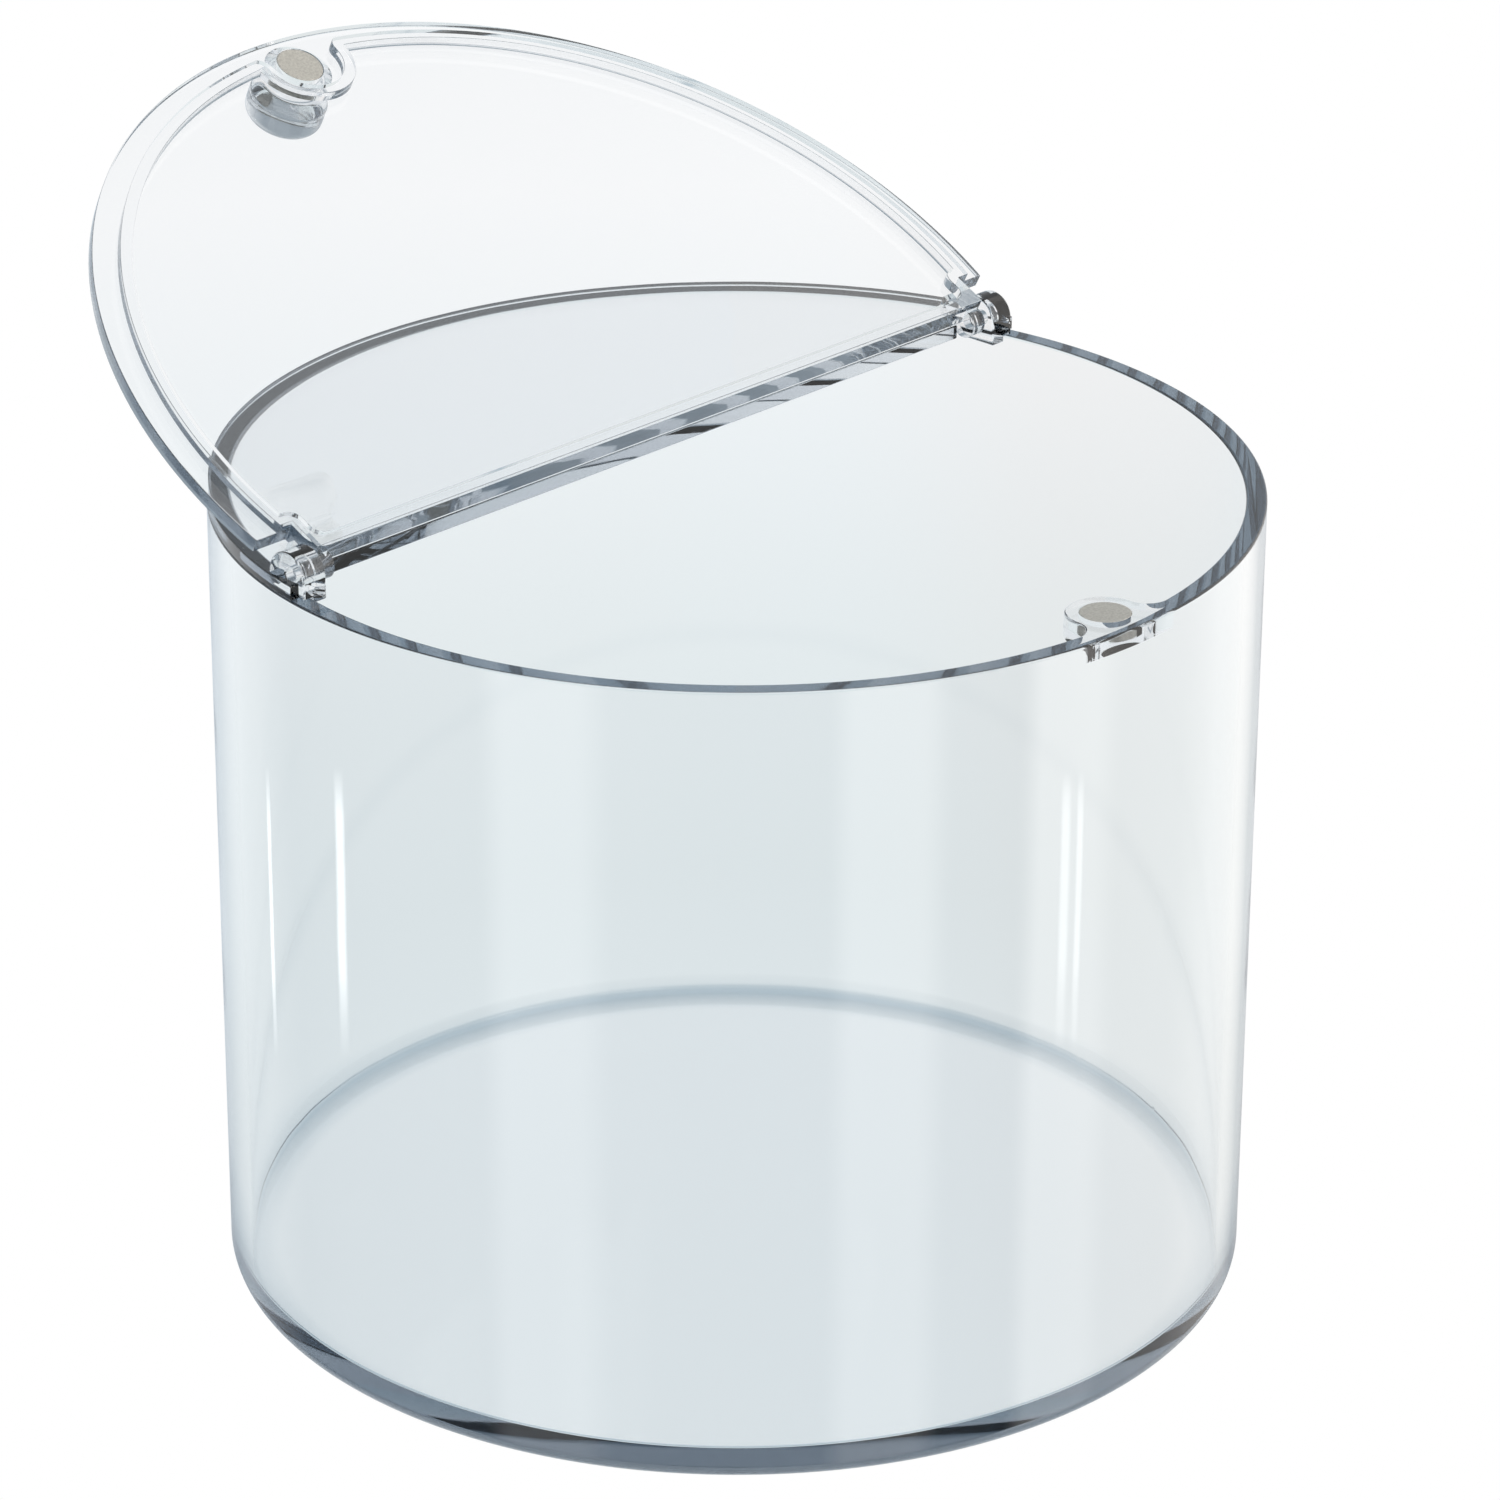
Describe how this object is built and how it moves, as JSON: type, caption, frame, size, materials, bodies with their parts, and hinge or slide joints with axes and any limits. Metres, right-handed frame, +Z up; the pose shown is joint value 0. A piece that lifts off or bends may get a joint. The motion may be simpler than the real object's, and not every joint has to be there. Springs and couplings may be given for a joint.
{
  "type": "round sweet bin with hinged lid",
  "caption": "Clear round tub for sweets with a fixed plate over the rear of its mouth and a half-moon lid on moulded hinges, held shut by flush magnets at the front.",
  "frame": {"origin": "centre of the tub's underside, on the surface the bin stands on", "axes": "+X along the hinge line to the right seen from the front, +Y from the lid's knob towards the rear cover, +Z up"},
  "size_m": [0.1906, 0.2216, 0.2075],
  "materials": {
    "clear_plastic": "water-clear moulded plastic, polished all over",
    "magnet_metal": "plated magnet, dull warm grey"
  },
  "bodies": {
    "bin": {"tub": "clear_plastic", "rear_cover": "clear_plastic", "tub_magnet": "magnet_metal"},
    "hinged_lid": {"lid": "clear_plastic", "lid_magnet": "magnet_metal"}
  },
  "joints": [
    {"name": "lid_hinge", "type": "hinge", "parent": "bin", "child": "hinged_lid", "pos_m": [0, 0.0195, 0.1545], "axis": [1, 0, 0], "range_deg": [0, 153.8]}
  ]
}
